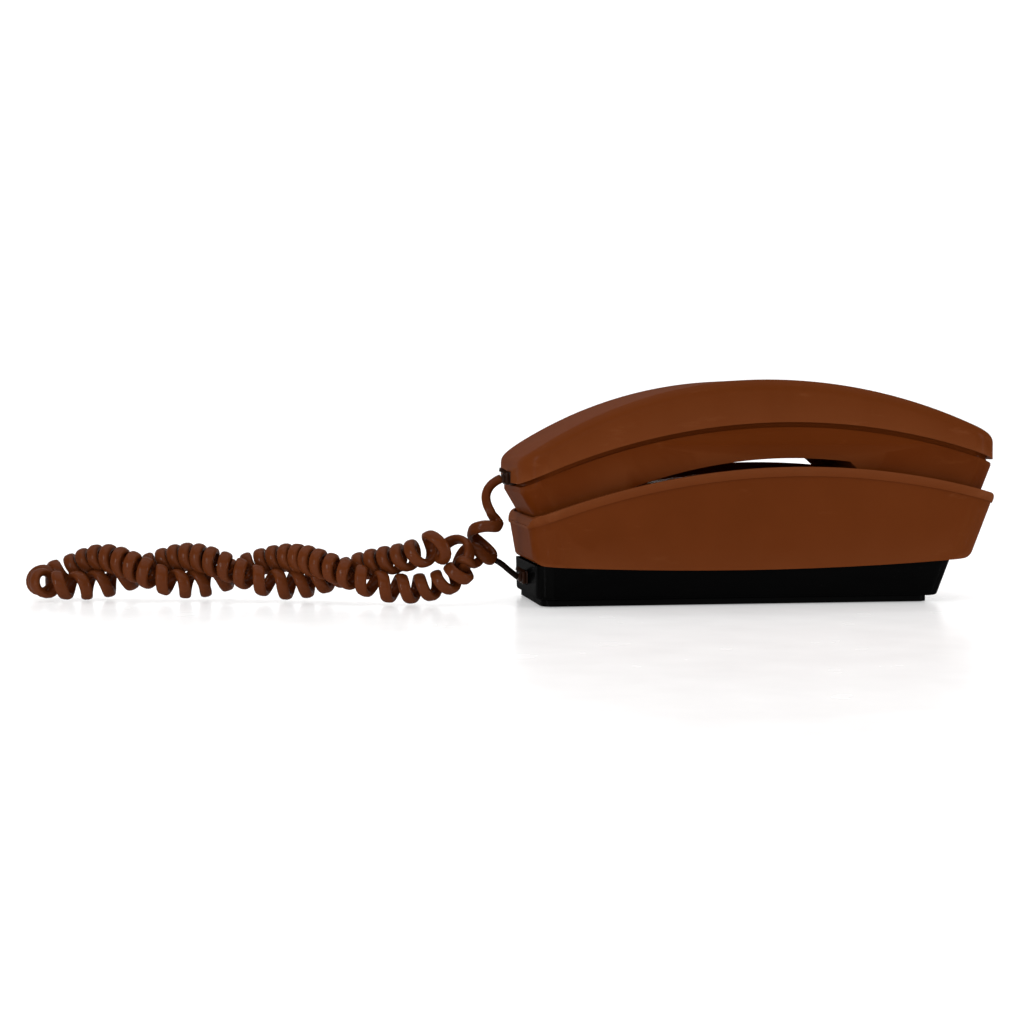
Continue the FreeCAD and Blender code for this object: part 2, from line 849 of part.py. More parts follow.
def bottom_corners(raise_by):
    """Bottom edge of the housing from cord end to ear end, with its rounded ends."""
    far_left = -size("base_cord_end") - 20
    far_right = size("base_ear_end") + 25
    left = -size("base_cord_end") + 3.6
    right = size("base_ear_end") - 5.0
    radius = size("base_bottom_radius") - raise_by
    left_rise = base_bottom(left) + raise_by + 4.1
    right_rise = base_bottom(right) + raise_by + 6.1
    return [
        (far_left, left_rise),
        (left - 4.9 + raise_by, left_rise, "left", size("round_cord_end")),
        (left + raise_by / 2, base_bottom(left) + raise_by, "left", radius),
        (right - raise_by / 2, base_bottom(right) + raise_by, "left", size("round_ear_end")),
        (right + 8.7 - raise_by, right_rise),
        (far_right, right_rise),
    ]


def rim_top():
    """The rim from ear end to cord end, rounded off where it meets the end walls."""
    far_left = -size("base_cord_end") - 20
    far_right = size("base_ear_end") + 25
    right = size("base_ear_end") + 10.4
    left = -size("base_cord_end") - 3.4
    right_top = right - 3.6
    left_top = left + 5.0
    right_low = rim(right_top) - 4.4
    left_low = rim(left_top) - 4.8
    return [
        (far_right, right_low),
        (right, right_low, "left", size("rim_round_ear_end")),
        (right_top, rim(right_top), "left", size("rim_radius")),
        (left_top, rim(left_top), "left", size("rim_round_cord_end")),
        (left, left_low),
        (far_left, left_low),
    ]


def bead_under():
    """Lower side of the bead that thickens the rim, from cord end to ear end."""
    far_left = -size("base_cord_end") - 20
    far_right = size("base_ear_end") + 25
    low = -size("rim_bead_height")
    return [
        (far_left, rim(far_left) + low, "right", size("rim_radius")),
        (far_right, rim(far_right) + low),
    ]


HOUSING_SCREWS = [(x, y) for x in (-91.0, 70.0) for y in (-23.0, 23.0)]


def rods_at(name, places, radius, low, length):
    return [rod(f"{name}_{n}", radius, (x, y, low), length) for n, (x, y) in enumerate(places)]


def reversed_floor(down, radius):
    """The cradle's floor from the ear end to the cord end."""
    corners = [(corner[0], corner[1]) for corner in reversed(cradle_floor(down))]
    corners[1] = corners[1] + ("left", radius)
    return corners


def make_base_housing():
    deep = size("base_width") + 20
    outside = side_prism("base_sides", bottom_corners(as_size(0)) + rim_top(), deep)
    outer = common("base_outer", base_taper("base_shape", as_size(0)), outside)
    bead_sides = side_prism("bead_sides", bead_under() + rim_top(), deep)
    bead = common("rim_bead", base_taper("bead_shape", -size("rim_bead")), bead_sides)
    floor_up = reversed_floor(base_wall, size("cradle_radius"))
    below_sides = side_prism("works_sides", bottom_corners(base_wall) + floor_up, deep)
    below = common("base_works_room", base_taper("works_shape", base_wall), below_sides)
    above_floor = cradle_floor(as_size(0)) + [(120, 90), (-120, 90)]
    above_sides = side_prism("cradle_sides", above_floor, deep)
    above = common("cradle_room", base_taper("cradle_shape", base_wall), above_sides)
    room = cut("works_room", below, fuse("base_bosses", rods_at("base_boss", HOUSING_SCREWS, 3.6, 20.5, 35)))
    along = (-size("base_cord_end") + 4, size("pan_ear_end") - 5)
    opening = block("base_opening", along, (-31, 31), (10, 24))
    boss_feet = fuse("base_boss_feet", rods_at("base_foot", HOUSING_SCREWS, 3.6, 20.5, 10))
    opening_clear = cut("base_opening_clear", opening, boss_feet)
    holes = rods_at("base_screw_hole", HOUSING_SCREWS, 1.45, 19, 12)
    plunger_hole = rod("plunger_hole", size("plunger_radius") + 0.4, (size("plunger_x"), 0, 40), 15)
    tools = fuse("base_tools", [room, above, opening_clear, plunger_hole] + holes)
    keep("base_housing", cut("housing", fuse("base_whole", [outer, bead]), tools))


def pan_plans(inset, bottom):
    """Lower and upper plans of the black pan."""
    slope = (size("pan_ear_end") - size("pan_ear_foot")) / 13
    low = as_size(bottom)
    half_width = size("pan_width") / 2 - inset
    corner = size("pan_corner") - inset
    right = size("pan_ear_foot") + (low - 3) * slope - inset
    left = inset - size("pan_cord_end")
    lower = (low, left + 0.4, right, half_width - 1.2, corner)
    upper = (low + 25, left, right + slope * 25, half_width, corner)
    return lower, upper


def pan_solid(name, inset, bottom, top_shift):
    far = 110
    top = [
        (far, as_size(bottom)),
        (far, base_bottom(far) + top_shift, "right", size("base_bottom_radius")),
        (-far, base_bottom(-far) + top_shift),
        (-far, as_size(bottom)),
    ]
    sides = side_prism(name, top, size("pan_width") + 10)
    return common(name, tapered_box(name, *pan_plans(inset, bottom)), sides)


BOARD_FEET = [(x, y) for x in (-83.0, -34.0) for y in (-24.0, 10.0)]


def keyhole_rods(name, low, length):
    pieces = []
    for number, sign in enumerate((-1, 1)):
        x = size("keyhole_spacing") / 2 * sign - 10
        pieces.append(rod(f"{name}_entry_{number}", size("keyhole_entry"), (x, 0, low), length))
        slot = size("keyhole_slot")
        pieces.append(rod(f"{name}_end_{number}", slot, (x + size("keyhole_run"), 0, low), length))
        along = (x, x + size("keyhole_run"))
        pieces.append(block(f"{name}_run_{number}", along, (-slot, slot), (low, as_size(low) + length)))
    return pieces


def make_base_pan():
    bottom = size("pan_bottom")
    outer = pan_solid("pan_outer", as_size(0), bottom, as_size(-0.15))
    lower_edge = bottom.value + 0.01
    rounded = round_edges("pan_rounded", outer, as_size(1.6), lambda edge: edge.BoundBox.ZMax < lower_edge)
    inner = pan_solid("pan_inner", size("pan_wall"), bottom + size("pan_wall"), as_size(6))
    hollow = cut("pan_hollow", rounded, inner)
    inside = bottom + size("pan_wall")
    posts = rods_at("pan_boss", HOUSING_SCREWS, 3.4, inside - 1, 16 - inside)
    posts += rods_at("board_foot", BOARD_FEET, 2.2, inside - 1, 10 - inside)
    whole = fuse("pan_whole", [hollow] + posts)
    height = size("base_exit_height")
    tools = [block("pan_cord_slot", (-105, -94), (-5.4, 5.4), (height - 3.2, height + 3.2))]
    tools.append(block("pan_line_slot", (-73.9, -62.1), (28, 38), (7.8, 14.8)))
    tools.append(block("pan_lever_slot", (26.8, 45.2), (28, 38), (8.9, 12.1)))
    tools += rods_at("pan_screw_hole", HOUSING_SCREWS, 1.6, 2, 16)
    tools += rods_at("pan_screw_recess", HOUSING_SCREWS, 3.0, 2, 3.2)
    tools += keyhole_rods("pan_keyhole", 2, 5)
    keep("base_pan", cut("pan", whole, fuse("pan_tools", tools)))


def make_housing_screws():
    heads = rods_at("housing_screw_head", HOUSING_SCREWS, 2.7, 3.4, 1.8)
    shafts = rods_at("housing_screw_shaft", HOUSING_SCREWS, 1.4, 3.4, 24)
    keep("housing_screws", fuse("housing_screw_set", heads + shafts))


FEET = [(x, y) for x in (-84.0, 65.0) for y in (-22.0, 22.0)]


def make_mount_plate():
    body = new_body("mount_plate")
    low = size("plate_bottom")
    plan = body_sketch(body, "XY_Plane", "plate_plan", low)
    half_width = size("plate_width") / 2
    corner = size("plate_corner")
    draw_outline(plan, rounded_plan(-size("plate_cord_end"), size("plate_ear_end"), half_width, corner))
    pad(body, plan, size("pan_bottom") - low)
    entries = body_sketch(body, "XY_Plane", "plate_entries")
    runs = body_sketch(body, "XY_Plane", "plate_runs")
    ends = body_sketch(body, "XY_Plane", "plate_ends")
    run = size("keyhole_run")
    for sign in (-1, 1):
        x = size("keyhole_spacing") / 2 * sign - 10
        draw_circle(entries, x, 0, size("keyhole_entry"))
        draw_outline(runs, rectangle(x + run / 2, 0, run, size("keyhole_slot") * 2))
        draw_circle(ends, x + run, 0, size("keyhole_slot"))
    for sketch in (entries, runs, ends):
        pocket_through(body, sketch)
    recess = body_sketch(body, "XY_Plane", "plate_foot_recesses", 1.7)
    for x, y in FEET:
        draw_circle(recess, x, y, size("foot_radius") + 0.1)
    feature = body.newObject("PartDesign::Pocket", "plate_foot_pocket")
    feature.Profile = recess
    feature.Length = 3


def make_rubber_feet():
    keep("rubber_feet", fuse("feet", rods_at("foot", FEET, size("foot_radius"), 0, 1.6)))


# Works inside the base

def make_network_board():
    keep("network_board", block("network_plate", (-87, -30), (-28, 14), (9.1, 10.7)))
    pieces = [
        block("hybrid_coil", (-46, -32), (-24, -8), (10.8, 26)),
        block("bridge", (-80, -72), (-10, -2), (10.8, 15)),
        rod("line_capacitor", 4.5, (-44, 2, 10.8), 14),
        rod("ring_capacitor", 5.0, (-78, -20, 10.8), 12),
        rod("surge_guard", 2.6, (-70, -17, 13.6), 12, along="x"),
    ]
    keep("board_components", fuse("components", pieces))


def make_ringer():
    x = size("gong_x")
    plate = block("ringer_plate", (2, 66), (-15.6, 15.6), (5.6, 7.2))
    post = rod("gong_post", 3.0, (x, 0, 7), size("gong_top") - size("gong_wall") - 7)
    near_cheek = block("ringer_cheek_0", (4, 24), (-15.6, -14.0), (7, 27))
    far_cheek = block("ringer_cheek_1", (4, 24), (14.0, 15.6), (7, 27))
    frame = fuse("ringer_frame_whole", [plate, post, near_cheek, far_cheek])
    pin_holes = rod("ringer_pin_hole", 1.0, (21, -17, 12), 34, along="y")
    keep("ringer_frame", cut("ringer_frame_cut", frame, pin_holes))
    winding = rod("ringer_winding", 6.6, (11, -11.5, 16), 23, along="y")
    near_end = rod("ringer_bobbin_0", 7.4, (11, -13.2, 16), 1.6, along="y")
    far_end = rod("ringer_bobbin_1", 7.4, (11, 11.6, 16), 1.6, along="y")
    keep("ringer_coil", fuse("ringer_windings", [winding, near_end, far_end]))
    arm = rod("clapper_arm", 0.9, (21, 0, 12), 21)
    pin = rod("clapper_pin", 0.8, (21, -15, 12), 30, along="y")
    head = doc.addObject("Part::Sphere", "clapper_head")
    head.Radius = 3.0
    head.Placement = FreeCAD.Placement(FreeCAD.Vector(22.4, 0, 34), FreeCAD.Rotation())
    keep("clapper", fuse("clapper_whole", [arm, pin, head]))


def make_gong():
    body = new_body("gong")
    top = size("gong_top")
    radius = size("gong_radius")
    thick = size("gong_wall")
    low = top - size("gong_depth")
    bend = as_size(6)
    turned(body, size("gong_x"), 0, [
        (2.0, top - thick),
        (radius - bend - thick, top - thick, "right", bend),
        (radius - thick, top - thick - bend),
        (radius - thick, low),
        (radius, low),
        (radius, top - bend - thick, "left", bend + thick),
        (radius - bend - thick, top),
        (2.0, top),
    ])
    head = rod("gong_screw_head", 3.4, (size("gong_x"), 0, top), 1.8)
    keep("gong_screw", head)


def make_line_switch():
    x = size("plunger_x")
    box = block("switch_box", (x - 8, x + 8), (-8, 8), (10.8, 26.5))
    bore = rod("switch_bore", 2.5, (x, 0, 14), 14)
    keep("line_switch", cut("switch", box, bore))
    body = new_body("hook_plunger")
    top = underside(x) - 1.4
    radius = size("plunger_radius")
    turned(body, x, 0, [
        (0, 17.0),
        (2.0, 17.0),
        (2.0, 38.2),
        (5.2, 38.2),
        (5.2, 39.6),
        (radius, 39.6),
        (radius, top - radius, "left", radius),
        (0, top),
    ])
    coil = rod("spring_outside", 4.4, (x, 0, 26.6), 11.5)
    keep("hook_spring", cut("spring", coil, rod("spring_inside", 2.6, (x, 0, 26), 14)))


def make_volume_lever():
    slide = block("lever_slide", (31, 41), (28.4, 30.4), (7.4, 13.6))
    knob = block("lever_knob", (33, 39), (30, 36.2), (9.3, 11.7))
    keep("volume_lever", fuse("lever", [slide, knob]))


def make_line_jack():
    outside = block("line_jack_box", (-76, -60), (15.5, 30.0), (5.6, 16.8))
    socket = block("line_jack_socket", (-73.9, -62.1), (18, 32), (7.8, 14.8))
    keep("line_jack", cut("line_jack_cut", outside, socket))


def cradle_band(name, low, high, half_length, half_width):
    """A thin piece that follows the cradle's long floor."""
    middle = -9
    radius = size("cradle_radius")
    left, right = middle - half_length, middle + half_length
    corners = [
        (left, cradle(left) + low, "right", radius),
        (right, cradle(right) + low),
        (right, cradle(right) + high, "left", radius),
        (left, cradle(left) + high),
    ]
    return side_prism(name, corners, as_size(half_width * 2))


def make_number_card():
    keep("number_card", cradle_band("card", 0.02, 0.32, 30, 16))
    cover = cradle_band("cover", 0.02, 1.4, 32, 18)
    room = cradle_band("cover_room", -1, 0.4, 30.4, 16.4)
    keep("card_window", cut("card_cover", cover, room))


# Cord

def smooth_path(route):
    """Straight runs joined by tangent arcs, each as large as its two runs allow."""
    points = [FreeCAD.Vector(*point) for point in route]
    edges = []
    radii = []
    start = points[0]
    for before, corner, after in zip(points, points[1:], points[2:]):
        into = (corner - before).normalize()
        out = (after - corner).normalize()
        shorter = min((corner - before).Length, (after - corner).Length)
        reach = 0.45 * shorter
        radii.append(reach / math.tan(into.getAngle(out) / 2))
        arc_start = corner - into * reach
        arc_end = corner + out * reach
        inward = (out - into).normalize()
        half_turn = into.getAngle(out) / 2
        middle = corner + inward * (radii[-1] / math.cos(half_turn) - radii[-1])
        edges.append(Part.LineSegment(start, arc_start).toShape())
        edges.append(Part.Arc(arc_start, middle, arc_end).toShape())
        start = arc_end
    edges.append(Part.LineSegment(start, points[-1]).toShape())
    return Part.Wire(edges), radii


def make_cord_tube(label, route, radius_name):
    path, radii = smooth_path(route)
    radius = SIZES[radius_name]
    first = FreeCAD.Vector(*route[0])
    along = FreeCAD.Vector(*route[1]) - first
    ring = Part.Wire([Part.Circle(first, along, radius).toShape()])
    tube = doc.addObject("Part::Feature", label)
    tube.Shape = path.makePipeShell([ring], True, False)
    tube.Placement = FreeCAD.Placement()
    keep(label, tube)
    expected = math.pi * radius * radius * path.Length
    print(f"{label}: length {path.Length:.1f}, volume {tube.Shape.Volume:.0f} of {expected:.0f}")
    print("  bend radii", [round(r, 1) for r in radii])


make_handset_top_shell()
make_handset_face_shell()
make_handset_screws()
make_keypad_bezel()
for key_name, key_x, key_y in key_places():
    make_button(key_name, key_x, key_y, key_length, key_width)
make_button("flash_button", size("flash_x"), 0, key_length / 2, key_width * 2)
make_key_mat()
make_keypad_board()
make_receiver()
make_transmitter()
make_plug("handset_plug", -handset_half, size("handset_exit_height"), as_size(-101.3))
make_base_housing()
make_base_pan()
make_housing_screws()
make_mount_plate()
make_rubber_feet()
make_network_board()
make_ringer()
make_gong()
make_line_switch()
make_volume_lever()
make_line_jack()
make_plug("base_plug", -size("pan_cord_end"), size("base_exit_height"), as_size(-95.7))
make_number_card()
make_cord_tube("cord_handset_lead", HANDSET_LEAD, "lead_radius")
make_cord_tube("cord_coil", COIL_ROUTE, "coil_radius")
make_cord_tube("cord_base_lead", BASE_LEAD, "lead_radius")

doc.recompute()
for thing in doc.Objects:
    if "Invalid" in thing.State or "Error" in thing.State:
        raise RuntimeError(f"{thing.Name} failed: {thing.State}")
os.makedirs("parts", exist_ok=True)
for thing in SUB_PARTS:
    shape = thing.Shape
    if shape.isNull() or not shape.isValid():
        raise RuntimeError(f"{thing.Label} has no valid shape")
    shape.exportStep(f"parts/{thing.Label}.step")
    box = shape.BoundBox
    print(f"{thing.Label}: {len(shape.Solids)} solids, {shape.Volume:.0f} mm3, "
          f"x {box.XMin:.1f} {box.XMax:.1f} y {box.YMin:.1f} {box.YMax:.1f} z {box.ZMin:.1f} {box.ZMax:.1f}")
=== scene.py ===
"""Slimline wall phone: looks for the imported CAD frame, in metres."""

import json
import math

import bpy
import bmesh
from mathutils import Matrix, Vector


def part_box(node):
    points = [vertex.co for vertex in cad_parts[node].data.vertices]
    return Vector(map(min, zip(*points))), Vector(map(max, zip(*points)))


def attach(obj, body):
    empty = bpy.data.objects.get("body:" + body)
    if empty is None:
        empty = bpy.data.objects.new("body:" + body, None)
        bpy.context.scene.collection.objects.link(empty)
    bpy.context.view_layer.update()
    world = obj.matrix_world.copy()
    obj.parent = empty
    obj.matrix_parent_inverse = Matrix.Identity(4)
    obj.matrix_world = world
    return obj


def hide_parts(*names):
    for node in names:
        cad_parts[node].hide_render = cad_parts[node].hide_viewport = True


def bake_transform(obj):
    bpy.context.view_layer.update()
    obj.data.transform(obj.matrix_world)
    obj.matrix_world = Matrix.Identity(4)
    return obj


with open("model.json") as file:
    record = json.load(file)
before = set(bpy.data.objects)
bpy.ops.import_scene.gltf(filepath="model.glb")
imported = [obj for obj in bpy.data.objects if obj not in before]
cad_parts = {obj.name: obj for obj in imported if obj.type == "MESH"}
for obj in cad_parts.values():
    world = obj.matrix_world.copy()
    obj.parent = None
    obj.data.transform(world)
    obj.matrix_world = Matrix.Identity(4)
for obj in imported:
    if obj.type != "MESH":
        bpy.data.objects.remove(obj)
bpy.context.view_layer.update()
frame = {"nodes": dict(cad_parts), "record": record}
nodes = frame["nodes"]
MM = 0.001


# Node tree helpers

class Nodes:
    """Short calls for building one material's node tree."""

    def __init__(self, name):
        self.material = bpy.data.materials.new(name)
        self.material.use_nodes = True
        self.tree = self.material.node_tree
        self.shader = self.tree.nodes["Principled BSDF"]
        self.place = self.add("ShaderNodeTexCoord").outputs["Object"]

    def add(self, kind, **settings):
        node = self.tree.nodes.new(kind)
        for name, value in settings.items():
            setattr(node, name, value)
        return node

    def link(self, source, target):
        self.tree.links.new(source, target)

    def set(self, **values):
        for name, value in values.items():
            self.shader.inputs[name.replace("_", " ")].default_value = value

    def noise(self, scale, detail=4.0, roughness=0.5, stretch=None):
        node = self.add("ShaderNodeTexNoise")
        node.inputs["Scale"].default_value = scale
        node.inputs["Detail"].default_value = detail
        node.inputs["Roughness"].default_value = roughness
        place = self.place
        if stretch:
            mapping = self.add("ShaderNodeMapping")
            mapping.inputs["Scale"].default_value = stretch
            self.link(place, mapping.inputs["Vector"])
            place = mapping.outputs["Vector"]
        self.link(place, node.inputs["Vector"])
        return node.outputs["Fac"]

    def ramp(self, source, stops):
        """Colour ramp; stops are (position, colour)."""
        node = self.add("ShaderNodeValToRGB")
        elements = node.color_ramp.elements
        while len(elements) < len(stops):
            elements.new(0.5)
        for element, (position, colour) in zip(elements, stops):
            element.position = position
            element.color = (*colour, 1.0)
        self.link(source, node.inputs["Fac"])
        return node.outputs["Color"]

    def span(self, source, low, high, from_low=0.0, from_high=1.0):
        node = self.add("ShaderNodeMapRange")
        node.inputs["From Min"].default_value = from_low
        node.inputs["From Max"].default_value = from_high
        node.inputs["To Min"].default_value = low
        node.inputs["To Max"].default_value = high
        self.link(source, node.inputs["Value"])
        return node.outputs["Result"]

    def mix(self, factor, first, second):
        """Second colour over the first by the factor; each is a socket, a colour or a number."""
        node = self.add("ShaderNodeMix", data_type="RGBA")
        sockets = (node.inputs[0], node.inputs[6], node.inputs[7])
        for socket, value in zip(sockets, (factor, first, second)):
            if isinstance(value, bpy.types.NodeSocket):
                self.link(value, socket)
            elif isinstance(value, tuple):
                socket.default_value = (*value, 1.0)
            else:
                socket.default_value = value
        return node.outputs[2]

    def bump(self, height, distance, strength=1.0, below=None):
        node = self.add("ShaderNodeBump")
        node.inputs["Distance"].default_value = distance
        node.inputs["Strength"].default_value = strength
        self.link(height, node.inputs["Height"])
        if below is not None:
            self.link(below, node.inputs["Normal"])
        return node.outputs["Normal"]

    def finish(self, colour=None, roughness=None, normal=None):
        for name, source in (("Base Color", colour), ("Roughness", roughness), ("Normal", normal)):
            if source is not None:
                self.link(source, self.shader.inputs[name])
        return self.material


def wear_of_edges(m, amount):
    """Share of wear: none where the mesh is flat, up to the amount along its sharp edges."""
    geometry = m.add("ShaderNodeNewGeometry")
    return m.span(geometry.outputs["Pointiness"], 0.0, amount, 0.5, 0.62)


def moulded_plastic(name, dark, light, worn, roughness=0.36, coat=0.12, gloss=0.2):
    """Satin moulded plastic: faint colour drift, fine grain, hairline scuffs and rubbed edges."""
    m = Nodes(name)
    drift = m.noise(14.0, detail=3.0)
    cloud = m.noise(55.0, detail=5.0, roughness=0.6)
    scuffs = m.noise(160.0, detail=8.0, roughness=0.7, stretch=(0.25, 1.0, 1.0))
    colour = m.ramp(drift, [(0.3, dark), (0.72, light)])
    colour = m.mix(m.span(cloud, 0.0, 0.35, 0.45, 0.75), colour, light)
    colour = m.mix(m.span(scuffs, 0.0, 0.30, 0.60, 0.74), colour, worn)
    colour = m.mix(wear_of_edges(m, 0.45), colour, worn)
    rough = m.span(scuffs, roughness, roughness + 0.22, 0.45, 0.72)
    grain = m.noise(2600.0, detail=2.0)
    waves = m.noise(38.0, detail=2.0)
    normal = m.bump(grain, 0.00003, 0.35)
    normal = m.bump(waves, 0.0003, 0.18, below=normal)
    normal = m.bump(scuffs, 0.00005, 0.35, below=normal)
    m.set(Specular_IOR_Level=0.0, Coat_Weight=coat, Coat_Roughness=gloss)
    return m.finish(colour, rough, normal)


def metal(name, colour, roughness, tarnish):
    """Turned or stamped metal with a little tarnish and fine marks."""
    m = Nodes(name)
    marks = m.noise(140.0, detail=8.0, roughness=0.65, stretch=(1.0, 0.2, 1.0))
    blotch = m.noise(30.0, detail=4.0)
    tint = m.mix(m.span(blotch, 0.0, 0.7, 0.45, 0.7), colour, tarnish)
    m.set(Metallic=1.0)
    normal = m.bump(marks, 0.00004, 0.4)
    return m.finish(tint, m.span(marks, roughness, roughness + 0.2, 0.35, 0.7), normal)


def rubber(name, dark, light):
    """Matt rubber with dust in its grain."""
    m = Nodes(name)
    dust = m.noise(220.0, detail=6.0, roughness=0.7)
    colour = m.ramp(dust, [(0.35, dark), (0.75, light)])
    normal = m.bump(m.noise(900.0, detail=4.0), 0.00008, 0.6)
    return m.finish(colour, m.span(dust, 0.65, 0.9), normal)


def circuit_board(name):
    """Board with copper-coloured tracks under a clear lacquer."""
    m = Nodes(name)
    tracks = m.add("ShaderNodeTexWave", wave_type="BANDS", bands_direction="DIAGONAL")
    tracks.inputs["Scale"].default_value = 95.0
    tracks.inputs["Distortion"].default_value = 6.0
    tracks.inputs["Detail"].default_value = 1.0
    m.link(m.place, tracks.inputs["Vector"])
    fibre = m.noise(400.0, detail=4.0)
    board = m.ramp(fibre, [(0.3, (0.24, 0.15, 0.045)), (0.7, (0.34, 0.22, 0.07))])
    lines = m.span(tracks.outputs["Fac"], 0.0, 1.0, 0.62, 0.68)
    colour = m.mix(lines, board, (0.33, 0.20, 0.10))
    m.set(Coat_Weight=0.5, Coat_Roughness=0.15)
    return m.finish(colour, m.span(fibre, 0.35, 0.55), m.bump(lines, 0.00004, 0.5))


def copper_winding(name):
    """Fine enamelled wire wound round the bobbin, which lies along Y."""
    m = Nodes(name)
    turns = m.add("ShaderNodeTexWave", wave_type="BANDS", bands_direction="Y")
    turns.inputs["Scale"].default_value = 520.0
    turns.inputs["Distortion"].default_value = 0.6
    m.link(m.place, turns.inputs["Vector"])
    colour = m.ramp(turns.outputs["Fac"], [(0.1, (0.12, 0.03, 0.01)), (0.9, (0.45, 0.16, 0.06))])
    m.set(Metallic=0.6)
    rough = m.span(turns.outputs["Fac"], 0.25, 0.45)
    return m.finish(colour, rough, m.bump(turns.outputs["Fac"], 0.0001, 0.8))


def paper(name):
    """Card, slightly yellowed in patches."""
    m = Nodes(name)
    fibres = m.noise(700.0, detail=8.0, roughness=0.7)
    age = m.noise(40.0, detail=3.0)
    colour = m.ramp(age, [(0.3, (0.66, 0.60, 0.47)), (0.7, (0.78, 0.74, 0.64))])
    return m.finish(colour, m.span(fibres, 0.75, 0.95), m.bump(fibres, 0.00003, 0.5))


def clear_plastic(name):
    """Clear window, faintly hazed."""
    m = Nodes(name)
    haze = m.noise(90.0, detail=6.0)
    m.set(Transmission_Weight=0.95, IOR=1.49, Alpha=0.35)
    colour = m.ramp(haze, [(0.3, (0.86, 0.84, 0.78)), (0.7, (0.93, 0.92, 0.88))])
    return m.finish(colour, m.span(haze, 0.05, 0.18))


BROWN = moulded_plastic(
    "brown_plastic",
    dark=(0.103, 0.0225, 0.0040),
    light=(0.118, 0.0265, 0.0052),
    worn=(0.19, 0.060, 0.022),
    coat=0.035,
)
FACE = moulded_plastic(
    "face_plastic",
    dark=(0.086, 0.0165, 0.0018),
    light=(0.098, 0.0195, 0.0026),
    worn=(0.15, 0.042, 0.012),
    coat=0.035,
)
BLACK = moulded_plastic(
    "black_plastic",
    dark=(0.0003, 0.0003, 0.0003),
    light=(0.0007, 0.0007, 0.0007),
    worn=(0.004, 0.004, 0.004),
    roughness=0.5,
    coat=0.03,
)
KEY = moulded_plastic(
    "key_plastic",
    dark=(0.50, 0.43, 0.31),
    light=(0.56, 0.49, 0.37),
    worn=(0.38, 0.31, 0.21),
)
CORD = moulded_plastic(
    "cord_plastic",
    dark=(0.060, 0.0108, 0.0013),
    light=(0.086, 0.0166, 0.0026),
    worn=(0.18, 0.058, 0.02),
    roughness=0.4,
    coat=0.14,
)
TAIL = moulded_plastic(
    "cord_tail_plastic",
    dark=(0.004, 0.0022, 0.0016),
    light=(0.007, 0.0035, 0.0022),
    worn=(0.03, 0.018, 0.012),
    roughness=0.45,
    coat=0.1,
)
PLUG = moulded_plastic(
    "plug_plastic",
    dark=(0.010, 0.0028, 0.0010),
    light=(0.018, 0.0050, 0.0018),
    worn=(0.05, 0.02, 0.01),
    roughness=0.3,
    coat=0.16,
    gloss=0.15,
)
INK = moulded_plastic(
    "key_ink",
    dark=(0.035, 0.014, 0.006),
    light=(0.045, 0.018, 0.008),
    worn=(0.12, 0.08, 0.05),
    roughness=0.5,
    coat=0.05,
)
COMPONENT = moulded_plastic(
    "component_plastic",
    dark=(0.03, 0.03, 0.045),
    light=(0.06, 0.055, 0.07),
    worn=(0.16, 0.15, 0.15),
    roughness=0.5,
    coat=0.0,
)
RUBBER = rubber("rubber", dark=(0.012, 0.012, 0.012), light=(0.035, 0.033, 0.03))
STEEL = metal("steel", (0.62, 0.61, 0.60), roughness=0.28, tarnish=(0.40, 0.36, 0.31))
BRASS = metal("brass", (0.78, 0.60, 0.30), roughness=0.2, tarnish=(0.45, 0.30, 0.13))
BOARD = circuit_board("circuit_board")
WINDING = copper_winding("winding")
CARD = paper("card")
WINDOW = clear_plastic("window_plastic")

MATERIALS = {
    "brown_plastic": BROWN,
    "face_plastic": FACE,
    "black_plastic": BLACK,
    "key_plastic": KEY,
    "cord_plastic": CORD,
    "plug_plastic": PLUG,
    "rubber": RUBBER,
    "steel": STEEL,
    "brass": BRASS,
    "circuit_board": BOARD,
    "component_plastic": COMPONENT,
    "winding": WINDING,
    "card": CARD,
    "window_plastic": WINDOW,
}


def dress_cad_nodes():
    """Every CAD node gets the material of its slot in the record."""
    for part in frame["record"]["subparts"]:
        mesh = nodes[part["node"]].data
        mesh.materials.clear()
        mesh.materials.append(MATERIALS[part["material_slot"]])


# Cord: a flat lead wound into a curly cord, lying twisted round its own return

HANDSET_LEAD = [
    (-109.45, 0.0, 54.0),
    (-113.4, -0.4, 52.4),
    (-116.8, -2.0, 47.5),
    (-116.4, -4.5, 42.5),
    (-114.4, -7.5, 38.6),
]
COIL_ROUTE = [
    (-116.5, -6.5, 35.0),
    (-119.6, -5.0, 20.0),
    (-125.0, -9.0, 18.0),
    (-135.0, -15.0, 25.5),
    (-141.0, -17.0, 26.0),
    (-147.0, -13.5, 22.5),
    (-157.0, -6.0, 19.5),
    (-169.5, 4.0, 16.5),
    (-184.5, 12.0, 10.0),
    (-200.0, 11.5, 6.8),
    (-215.5, 10.5, 9.5),
    (-230.5, 15.5, 16.5),
    (-244.5, 24.5, 20.0),
    (-257.5, 33.0, 16.5),
    (-271.0, 36.0, 10.0),
    (-284.0, 32.5, 6.8),
    (-296.0, 27.5, 7.0),
    (-306.0, 28.5, 7.6),
    (-311.5, 36.5, 8.4),
    (-306.5, 45.0, 9.4),
    (-296.5, 44.0, 13.5),
    (-284.0, 35.5, 19.6),
    (-270.5, 23.5, 16.5),
    (-257.0, 18.0, 9.5),
    (-244.0, 21.5, 6.8),
    (-230.0, 27.5, 9.5),
    (-215.0, 25.5, 16.5),
    (-200.0, 14.0, 20.0),
    (-185.0, 0.5, 16.5),
    (-170.0, -8.5, 10.0),
    (-157.0, -8.8, 6.8),
    (-143.5, -11.5, 7.4),
    (-134.0, -15.5, 10.8),
    (-127.0, -18.5, 17.5),
]
